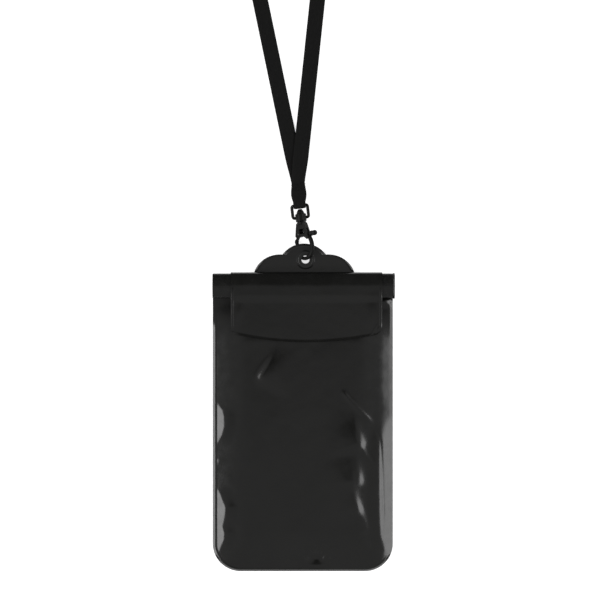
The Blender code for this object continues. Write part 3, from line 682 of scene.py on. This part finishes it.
def rim_drop(x, y, inset):
    """Fall of the films' outer rim: sloped along the sides, beaded along the bottom."""
    top = smooth_step((BODY_TOP - y) / RIM_TOP_FADE)
    steeper = LEFT_RIM_STEEPER * smooth_step((LEFT_RIM_Y - y) / LEFT_RIM_BLEND)
    left = (LEFT_RIM_SLOPE + steeper) * np.maximum(LEFT_RIM - inset, 0)
    right = strip_slope(x, y) * np.maximum(WELD_WIDTH - inset, 0)
    side = np.where(x < BODY_X, left, right) * top
    bead = BOTTOM_BEAD_SLOPE * np.maximum(BOTTOM_BEAD - inset, 0) - BOTTOM_BEAD_RISE * (
        1 - smooth_step((inset - BOTTOM_BEAD) / BOTTOM_BEAD_BLEND))
    across = smooth_step((np.abs(x - BODY_X) - BEAD_CORNER_X) / BEAD_CORNER_BLEND)
    low = smooth_step((BEAD_TOP_Y - y) / BEAD_TOP_BLEND)
    raised = smooth_step((y - BODY_BOTTOM - BEAD_CORNER_RISE) / BEAD_TOP_BLEND)
    bottom = low * (1 - across * raised)
    return side * (1 - bottom) + bead * bottom


def edge_rise(inset, weld, wide, slope, blend, height):
    """Rise from the weld: a taut strip of a given width, then a fuller curve."""
    run = np.maximum(inset - weld, 0)
    dome = height * np.sin(np.pi / 2 * np.clip(run / DOME_EDGE, 0, 1))
    fill = (slope - height * np.pi / 2 / DOME_EDGE) * wide
    fill *= 1 - smooth_step((run - np.maximum(wide, 0)) / STRIP_FALL)
    return soft_min(slope * run, dome + fill, blend)


def side_level(x, y, left, right, height):
    """Rise of a film from its welds, with the strip widths of its left and right side."""
    inset = inset_at(x, y)
    wide = np.where(x < BODY_X, pucker_width(y, left), pucker_width(y, right))
    bottom = smooth_step((y - BODY_BOTTOM) / STRIP_BOTTOM_FADE)
    blend = np.where(x < BODY_X, LEFT_STRIP_BLEND, RIGHT_STRIP_BLEND)
    return edge_rise(inset, weld_width(x), wide * bottom, strip_slope(x, y), blend, height)


def relief(x, y, left, right, height, ripples, creases):
    """Rise of a film: its pillow form, waves and creases."""
    mouth = smooth_step((BODY_TOP - y) / PILLOW_MOUTH)
    level = side_level(x, y, left, right, height) * mouth
    away = smooth_step((inset_at(x, y) - RIPPLE_INSET) / RIPPLE_BLEND) * mouth
    for rise, size, seed in ripples:
        level += away * rise * ripple(x, y, size, seed)
    for points, width, rise in creases:
        level += crease(x, y, points, width, rise)
    return level


def front_level(x, y):
    """Height of the front film."""
    level = relief(x, y, LEFT_PUCKERS, RIGHT_PUCKERS, PILLOW_FRONT, FRONT_RIPPLES,
                   FRONT_CREASES)
    below_clip = smooth_step((BODY_TOP - y) / FOLD_CLIP_FADE)
    for shape in FRONT_FOLDS:
        level += fold(x, y, *shape) * below_clip
    for shape in FRONT_LUMPS:
        level += lump(x, y, *shape)
    return FRONT_FILM_Z + level - rim_drop(x, y, inset_at(x, y))


def back_level(x, y):
    """Height of the back film, whose sides are seen the other way round."""
    level = relief(x, y, RIGHT_PUCKERS, LEFT_PUCKERS, BACK_FILM_Z - FILM / 2, BACK_RIPPLES,
                   BACK_CREASES)
    low = BACK_FILM_Z - level - rim_drop(x, y, inset_at(x, y))
    return np.maximum(low, FILM / 2)


def film_levels():
    """Heights of the rows from the bottom edge to the clip."""
    corner = [BODY_BOTTOM + CORNER_RADIUS * (1 - math.cos(a))
              for a in spaced(0, math.pi / 2, CORNER_ROWS)]
    count = int((BODY_TOP - corner[-1]) / FILM_STEP)
    return corner + spaced(corner[-1], BODY_TOP, count)[1:]


def columns(count):
    """Shares across a film, closer together near its edges."""
    t = np.linspace(-1, 1, count)
    return np.sign(t) * (1 - (1 - np.abs(t)) ** EDGE_CROWDING)


def row_of(x, y, z):
    """A row of points, with one or many values of each measure."""
    return np.stack(np.broadcast_arrays(x, y, z), -1)


def body_rows(level, shares):
    """Rows of a film from the bottom edge to the clip."""
    rows = []
    for y in film_levels():
        x = BODY_X + float(half_width(np.array(y))) * shares
        places = np.full(x.shape, y)
        rows.append(row_of(x, places, level(x, places)))
    return rows


def clip_rows(z, shares, stop):
    """Rows of a film through the clip, over its bead."""
    x = BODY_X + BODY_WIDTH / 2 * shares
    places = [*CLIP_ROWS, *spaced(-BEAD_HALF_WIDTH, BEAD_HALF_WIDTH, BEAD_ROWS)]
    return [row_of(x, y, z + nip(y)) for y in places if y <= stop]


def flap_rows(shares):
    """Rows of the flap, round the top of the clip and down over the front panel."""
    half = FLAP_WIDTH / 2
    x = FLAP_X + half * shares
    reach = CONTACT + FILM / 2
    outer = CLIP_EDGE + reach + FLAP_CLEARANCE
    rows = [row_of(x, y, z)
            for y, z in ((FLAP_START, FRONT_FILM_Z), (CLIP_EDGE, FRONT_FILM_Z),
                         (CLIP_EDGE + FLAP_BEND[0] * reach, FRONT_FILM_Z + FLAP_BEND[1] * reach),
                         (outer, FRONT_FILM_Z + reach))]
    wall = CLIP_THICKNESS - CLIP_WALL_TOP + reach
    rows += [row_of(x, outer * math.cos(a), CLIP_WALL_TOP + wall * math.sin(a))
             for a in spaced(0, math.pi / 2, FLAP_TURN_ROWS)]
    top = rows[-1][0, 2]
    corner = [math.radians(a) for a in range(0, 91, 10)]
    ends = [(1 - (1 - math.sin(a)) * FLAP_CORNER / FLAP_REACH,
             half - FLAP_CORNER * (1 - math.cos(a))) for a in corner]
    start = 1 - FLAP_CORNER / FLAP_REACH
    stations = [(share, half) for share in spaced(0, start, FLAP_ROWS)[1:-1]] + ends
    for share, wide in stations:
        x = FLAP_X + wide * shares
        across = (x - FLAP_X) / half
        bow = FLAP_BOW * across ** 2
        y = -share * (FLAP_REACH - bow)
        side = half - np.abs(x - FLAP_X)
        down = (1 - share) * (FLAP_REACH - bow)
        rows.append(row_of(x, y, top - FLAP_DROOP * share + flap_form(x, y, side, down, share)))
    return rows


def flap_form(x, y, side, down, share):
    """Relief of the flap: bar beneath it, welded rim, lip and soft dents."""
    ramp = smooth_step(share / FLAP_RAMP)
    z = ridge(side, *FLAP_RIM) * ramp * smooth_step((down - FLAP_RIM_END) / FLAP_RIM_FADE)
    past_bar = smooth_step((-y - BAR_EDGE) / BAR_BLEND)
    z = z - FLAP_SAG * past_bar * smooth_step(side / FLAP_SAG_BLEND)
    wave = FLAP_RIPPLE * ripple(x, y, FLAP_RIPPLE_SIZE, FLAP_RIPPLE_SEED)
    z = z + wave * past_bar * smooth_step(side / FLAP_RIPPLE_BLEND)
    for shape in FLAP_LUMPS:
        z = z + lump(x, y, *shape) * ramp
    lip = FLAP_LIP * np.clip(1 - down / FLAP_LIP_WIDTH, 0, 1) ** 2
    return z + lip * smooth_step(share / FLAP_LIP_FADE)


def make_films(film):
    shares = columns(FILM_COLUMNS)
    rows = (body_rows(front_level, shares) + clip_rows(FRONT_FILM_Z, shares, math.inf)
            + flap_rows(shares))
    front = link("pouch_front", grid_mesh("pouch_front", np.array(rows)), film)
    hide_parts("front_film")
    rows = body_rows(back_level, shares) + clip_rows(BACK_FILM_Z, shares, BACK_FILM_STOP)
    back = link("pouch_back", grid_mesh("pouch_back", np.array(rows)), film)
    tab = link("hanging_tab", tab_mesh("hanging_tab", BACK_FILM_Z, 1), film)
    facing = link("tab_back_layer", tab_mesh("tab_back_layer", BACK_FILM_Z - FILM - CONTACT, -1),
                  film)
    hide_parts("back_film")
    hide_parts("back_film")
    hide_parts("tab_facing")
    for obj in (front, back, tab, facing):
        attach(obj, "pouch")


def tab_radius(angle, base):
    """Distance from the eyelet to the scalloped outline, in a direction."""
    dx, dy = math.cos(angle), math.sin(angle)
    best = 0.0
    for cx, cy in ((0, TOP_LOBE_Y), (SIDE_LOBE_X, SIDE_LOBE_Y), (-SIDE_LOBE_X, SIDE_LOBE_Y)):
        px, py = EYELET[0] - TAB_X - cx, EYELET[1] - cy
        b = px * dx + py * dy
        c = px * px + py * py - LOBE_RADIUS ** 2
        inside = b * b - c
        if inside > 0:
            best = max(best, -b + math.sqrt(inside))
    if dy < 0:
        best = min(best, (base - EYELET[1]) / dy)
    return best


def tab_mesh(name, level, side):
    """Tab round its eyelet, with a welded rim and a ring pressed into it."""
    base = CLIP_EDGE - TAB_ROOT if side > 0 else CLIP_EDGE + CONTACT
    wide = SIDE_LOBE_X + math.sqrt(LOBE_RADIUS ** 2 - (base - SIDE_LOBE_Y) ** 2)
    corners = {math.atan2(base - EYELET[1], TAB_X + way * wide - EYELET[0]) for way in (-1, 1)}
    turns = [a for a in np.linspace(-math.pi, math.pi, TAB_TURNS)[:-1]
             if all(abs(a - corner) > TAB_CORNER_GAP for corner in corners)]
    turns = np.array(sorted(turns + list(corners)))
    radii = np.array([tab_radius(a, base) for a in turns])
    rings = [EYELET_RADIUS + s + 0 * radii for s in spaced(0, RING_BAND, RING_STEPS)]
    start = rings[-1]
    rings += [start + (radii - RIM_BAND - start) * t
              for t in np.linspace(0, 1, TAB_STEPS)[1:-1]]
    rings += [radii - s for s in spaced(RIM_BAND, 0, RIM_STEPS)]
    grid = []
    for r in rings:
        x = EYELET[0] + r * np.cos(turns)
        y = EYELET[1] + r * np.sin(turns)
        z = level + TAB_LIFT * smooth_step((y - CLIP_EDGE - TAB_LIFT_START) / TAB_LIFT_LENGTH)
        z = z + TAB_SLOPE * (y - EYELET[1]) * smooth_step((y - CLIP_EDGE) / TAB_SLOPE_BLEND)
        edge = radii - r
        above = smooth_step((y - CLIP_EDGE - TAB_RELIEF_START) / TAB_RELIEF_BLEND)
        wave = TAB_RIPPLE * ripple(x, y, TAB_RIPPLE_SIZE, TAB_RIPPLE_SEED)
        wave = wave * smooth_step(edge / TAB_RIPPLE_BLEND)
        raised = ridge(edge, *TAB_RIM) * above + ridge(r, *TAB_RING)
        grid.append(row_of(x, y, z + side * raised + wave * above))
    return ring_mesh(name, np.array(grid))


# ---------------------------------------------------------------- strap

def hook_matrix(along):
    """Place and turn of the hook's axis, at a distance along it."""
    turn = Matrix.Rotation(HOOK_LEAN, 4, "Z") @ Matrix.Rotation(HOOK_PITCH, 4, "X")
    return Matrix.Translation(HOOK_ORIGIN) @ turn @ Matrix.Translation((0, along, 0))


def leg_stations(route, ply):
    """Centre, direction across and width along one leg, from the sewn end outwards."""
    drift = LOOP_DRIFT * (LOOP_END_REACH - STIRRUP_REACH)
    start = hook_matrix(LOOP_END_REACH) @ Vector((drift, 0, 0))
    floor = STRAP_THICKNESS / 2 + CONTACT
    begin = Vector((start.x, start.y, 0))
    points = [begin + (Vector((*route[0], 0)) - begin) * i / LEAD_POINTS
              for i in range(LEAD_POINTS)]
    points += [Vector((x, y, 0)) for x, y in route]
    path = smooth_path(points, PATH_STEPS)
    stations = []
    for i, point in enumerate(path):
        forward = path[min(i + 1, len(path) - 1)] - path[max(i - 1, 0)]
        flat = Vector((forward.y, -forward.x, 0)).normalized()
        twist = float(smooth_step((point.y - VIEW_TOP - LEG_TURN_START) / LEG_TURN)) * math.pi / 2
        rise = ((STRAP_WIDTH - STRAP_THICKNESS) / 2 + HANK_LIFT) * math.sin(twist)
        high = start.z - (STRAP_THICKNESS + CONTACT) / 2
        level = floor + (high - floor) * (
            1 - float(smooth_step((point.y - start.y) / LEG_DESCENT)))
        if ply > 0:
            over = level + STRAP_THICKNESS + CONTACT + PLY_CLEARANCE
            level = over + (floor - over) * float(
                smooth_step((point.y - CROSSING_END) / CROSSING_DESCENT))
        width = JOINT_WIDTH + (STRAP_WIDTH - JOINT_WIDTH) * float(
            smooth_step((point.y - start.y) / LEG_WIDENING))
        stations.append((point + Vector((0, 0, level + rise)),
                         flat * math.cos(twist) + Vector((0, 0, 1)) * math.sin(twist), width))
    return stations


def hank_stations():
    """The folded length, back and forth on its edge, from the right leg to the left."""
    level = HANK_LIFT + STRAP_WIDTH / 2
    runs = HANK_RUNS[::-1]
    points = []
    ends = [HANK_FAR, HANK_NEAR]
    for i, x in enumerate(runs):
        start = ends[(i + 1) % 2] if i else RIGHT_LEG_ROUTE[-1][1]
        stop = ends[i % 2] if i < len(runs) - 1 else LEFT_LEG_ROUTE[-1][1]
        count = max(int(abs(stop - start) / HANK_STEP), 2)
        points += [Vector((x, y, level)) for y in spaced(start, stop, count)]
        if i < len(runs) - 1:
            nxt = runs[i + 1]
            centre = Vector(((x + nxt) / 2, stop, level))
            radius = abs(nxt - x) / 2
            sign = 1 if i % 2 == 0 else -1
            for a in spaced(0, math.pi, HANK_FOLD_POINTS)[1:-1]:
                points.append(centre + Vector((radius * math.cos(a), sign * radius * math.sin(a),
                                               0)))
    return [(p, Vector((0, 0, 1)), STRAP_WIDTH) for p in points]


def wrap_stations():
    """The sewn end round the stirrup's top bar, from the front ply to the back one."""
    frame_at = hook_matrix(0)
    bar = STIRRUP_REACH
    ply = (STRAP_THICKNESS + CONTACT) / 2
    wrap = STIRRUP_ROD / 2 + CONTACT + STRAP_THICKNESS / 2
    side = [(u, ply) for u in spaced(LOOP_END_REACH, bar + PLY_END, PLY_POINTS)]
    side += [(bar + u, ply + rise) for u, rise in PLY_RISES]
    side += [(bar + u, wrap * share) for u, share in WRAP_SHARES]
    first, last = math.radians(WRAP_GAP), math.radians(180 - WRAP_GAP)
    turn = [(bar - wrap * math.sin(a), wrap * math.cos(a))
            for a in spaced(first, last, WRAP_POINTS)]
    path = side + turn + [(u, -w) for u, w in reversed(side)]
    across = frame_at.to_3x3() @ Vector((1, 0, 0))
    stations = []
    for u, w in path:
        flare = float(smooth_step((u - bar - FLARE_START) / FLARE_LENGTH))
        waist = float(smooth_step((u - bar - WAIST_START) / WAIST_LENGTH))
        width = LOOP_WIDTH + (STRAP_WIDTH - LOOP_WIDTH) * flare
        width += (JOINT_WIDTH - STRAP_WIDTH) * waist
        drift = LOOP_DRIFT * max(u - bar, 0)
        stations.append((frame_at @ Vector((drift, u, w)), across, width))
    return stations


def strap_mesh(name, stations):
    """A woven band with soft edges, and coordinates in metres for its weave."""
    shape = []
    for s in spaced(-1, 1, BAND_POINTS):
        height = math.sqrt(max(1 - abs(s) ** BAND_SQUARENESS, 0.0))
        shape.append((s, height * (1 - BAND_EDGE) + BAND_EDGE))
    ring = shape + [(s, -h) for s, h in reversed(shape)]
    bm = bmesh.new()
    layer = bm.loops.layers.uv.new("strap")
    rings, lengths, travelled = [], [], 0.0
    for i, (centre, across, width) in enumerate(stations):
        before = stations[max(i - 1, 0)][0]
        after = stations[min(i + 1, len(stations) - 1)][0]
        along = (after - before).normalized()
        across = (across - along * across.dot(along)).normalized()
        rise = across.cross(along)
        rings.append([bm.verts.new(centre + across * s * width / 2
                                   + rise * h * STRAP_THICKNESS / 2) for s, h in ring])
        if i:
            travelled += (centre - stations[i - 1][0]).length
        lengths.append(travelled)
    size = len(ring)
    bm.faces.new(rings[0])
    bm.faces.new(list(reversed(rings[-1])))
    for k, (lower, upper) in enumerate(zip(rings, rings[1:])):
        for i in range(size):
            j = (i + 1) % size
            face = bm.faces.new((lower[i], upper[i], upper[j], lower[j]))
            face.smooth = True
            spots = ((i, k), (i, k + 1), (j, k + 1), (j, k))
            for loop, (a, b) in zip(face.loops, spots):
                loop[layer].uv = (ring[a][0] * STRAP_WIDTH / 2, lengths[b])
    return mesh_from(name, bm), travelled


def densify(stations, step):
    """The stations, with more between them where they lie further apart than a step."""
    out = [stations[0]]
    for a, b in zip(stations, stations[1:]):
        gap = (b[0] - a[0]).length
        parts = max(int(math.ceil(gap / step)), 1)
        for i in range(1, parts + 1):
            t = i / parts
            out.append((a[0].lerp(b[0], t), a[1].lerp(b[1], t), a[2] + (b[2] - a[2]) * t))
    return out


def make_strap(webbing):
    """The whole strap, from its sewn end round the hank and back, its route and length."""
    wrap = wrap_stations()
    middle = len(wrap) // 2
    right = leg_stations(RIGHT_LEG_ROUTE, 1)
    left = leg_stations(LEFT_LEG_ROUTE, -1)
    flip = [(c, -a, w) for c, a, w in reversed(left)]
    front = [(c, a, w) for c, a, w in reversed(wrap[:middle])]
    back = [(c, -a, w) for c, a, w in reversed(wrap[middle:])]
    stations = front + right[1:] + hank_stations()[1:-1] + flip[:-1] + back
    mesh, length = strap_mesh("neck_strap", densify(stations, STRAP_STEP))
    strap = link("neck_strap", mesh, webbing)
    path = [tuple(s[0]) for s in stations]
    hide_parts("strap_loop_end", "strap_left_leg", "strap_right_leg", "strap_hank")
    return strap, path, length


def thread_mesh(name, points):
    """A round thread through a loop of points, closed at both of its ends."""
    bm = bmesh.new()
    rings = []
    count = len(points)
    for i, point in enumerate(points):
        along = (points[(i + 1) % count] - points[i - 1]).normalized()
        across = along.orthogonal().normalized()
        rise = along.cross(across)
        if rings:
            reach = rings[-1][0].co - points[i - 1]
            across = (reach - along * reach.dot(along)).normalized()
            rise = along.cross(across)
        rings.append([bm.verts.new(point + (across * math.cos(a) + rise * math.sin(a))
                                   * THREAD_RADIUS)
                      for a in spaced(0, math.tau, THREAD_SIDES + 1)[:-1]])
    for i in range(count - 1):
        lower, upper = rings[i], rings[i + 1]
        for j in range(THREAD_SIDES):
            k = (j + 1) % THREAD_SIDES
            bm.faces.new((lower[j], lower[k], upper[k], upper[j])).smooth = True
    bm.faces.new(list(reversed(rings[0])))
    bm.faces.new(rings[-1])
    return mesh_from(name, bm)


def make_stitching(thread):
    """Rows of zigzag thread through both plies where the strap is sewn together."""
    frame_at = hook_matrix(0)
    level = STRAP_THICKNESS + CONTACT / 2 + THREAD_RADIUS * THREAD_SINK
    turn = level * STITCH_TURN
    pieces = []
    for row, u in enumerate(STITCH_ROWS):
        drift = LOOP_DRIFT * (u - STIRRUP_REACH)
        half = JOINT_WIDTH / 2 - STITCH_INSET
        stops = spaced(-half, half, STITCHES)
        zigzag = [(v, STITCH_THROW * (-1) ** i) for i, v in enumerate(stops)]
        edge = half + STITCH_OVERHANG
        points = [Vector((drift + v, u + t, level)) for v, t in zigzag]
        points += [Vector((drift + edge, u, turn)), Vector((drift + edge, u, -turn))]
        points += [Vector((drift + v, u + t, -level)) for v, t in reversed(zigzag)]
        points += [Vector((drift - edge, u, -turn)), Vector((drift - edge, u, turn))]
        path = [frame_at @ p for p in points]
        name = f"strap_stitching_{row + 1}"
        pieces.append(link(name, thread_mesh(name, path), thread))
    for obj in pieces:
        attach(obj, "stirrup")
    return [obj.name for obj in pieces]


# ---------------------------------------------------------------- scene

def make_stage():
    """White floor, whiter where the camera, a reflection or a clear piece shows it."""
    bpy.ops.mesh.primitive_plane_add(size=FLOOR_SIZE, location=(0, 0, 0))
    floor = bpy.context.object
    floor.name = "floor"
    m = Material("white_floor", FLOOR_COLOUR, FLOOR_ROUGHNESS)
    path = m.nodes.new("ShaderNodeLightPath")
    seen = path.outputs["Is Camera Ray"]
    for ray in ("Is Glossy Ray", "Is Transmission Ray"):
        seen = m.math("MAXIMUM", seen, path.outputs[ray])
    m.set("Emission Color", (1, 1, 1, 1))
    m.set("Emission Strength", m.math("MULTIPLY", seen, FLOOR_GLOW))
    floor.data.materials.append(m.mat)


def area_light(name, location, size, power):
    data = bpy.data.lights.new(name, "AREA")
    data.shape = "RECTANGLE"
    data.size, data.size_y = size
    data.energy = power
    obj = bpy.data.objects.new(name, data)
    obj.location = location
    aim = Vector(SOFTBOX_TARGET) - Vector(location)
    obj.rotation_euler = aim.to_track_quat("-Z", "Y").to_euler()
    bpy.context.collection.objects.link(obj)


def make_lights():
    """White walls round a dark ceiling, and a softbox on either side."""
    world = bpy.data.worlds.new("studio")
    bpy.context.scene.world = world
    walls = Tree(world, "Background")
    walls.set("Color", (1, 1, 1, 1))
    way = walls.separate(walls.coordinates("Generated"))
    behind = walls.remap(way["Y"], *BEHIND, WALL_LIGHT, DARK_LIGHT, smooth=True)
    sides = walls.remap(walls.math("ABSOLUTE", way["X"]), *ASIDE, 0.0, WALL_LIGHT, smooth=True)
    walls.set("Strength", walls.math("MAXIMUM", behind, sides))
    for name, (location, size, power) in SOFTBOXES.items():
        area_light(name, location, size, power)


def make_camera():
    distance = VIEW_WIDTH * LENS / SENSOR
    data = bpy.data.cameras.new("camera")
    data.lens = LENS
    data.sensor_width = SENSOR
    data.clip_start = NEAR_CLIP
    camera = bpy.data.objects.new("camera", data)
    camera.location = (VIEW_X, VIEW_Y, OBJECT_LEVEL + distance)
    bpy.context.collection.objects.link(camera)
    bpy.context.scene.camera = camera


def make_spring(steel):
    """The gate's coil spring, a copy of the imported solid in steel."""
    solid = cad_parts["gate_spring"]
    spring = link("coil_spring", solid.data.copy(), steel)
    spring.data.materials.clear()
    spring.data.materials.append(steel)
    spring.matrix_world = solid.matrix_world
    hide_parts("gate_spring")
    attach(spring, "pouch")
    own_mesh(spring)


def dress_solids(clip, hook, steel, elastic):
    """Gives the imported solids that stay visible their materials."""
    finishes = {"clip_back_bar": clip, "clip_front_bar": clip, "hook_body": hook,
                "hook_gate": hook, "swivel_stirrup": hook, "gate_pin": steel,
                "hank_tie": elastic}
    for name, mat in finishes.items():
        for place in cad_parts[name].material_slots:
            place.material = mat


def main():
    bpy.context.scene.view_settings.view_transform = "Standard"
    make_camera()
    make_stage()
    make_lights()
    webbing = webbing_material("woven_black_polyester", WEBBING_COLOUR)
    strap, path, length = make_strap(webbing)
    film = film_material("gloss_black_film", FILM_COLOUR, roughness=0.18)
    clip = plastic_material("moulded_black_clip", CLIP_COLOUR, roughness=0.26, shine=0.5)
    hook = plastic_material("moulded_black_hook", HOOK_COLOUR, roughness=0.42, shine=0.14)
    steel = steel_material("blackened_steel")
    elastic = band_material("black_elastic", THREAD_COLOUR, ELASTIC_PITCH)
    make_films(film)
    dress_solids(clip, hook, steel, elastic)
    make_spring(steel)
    stitching = make_stitching(band_material("black_thread", THREAD_COLOUR, THREAD_PITCH))
    # The strap twists between station 18, the sewn end's last, and 46, a third of the way
    # from there to the top of the view
    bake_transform(strap)


main()
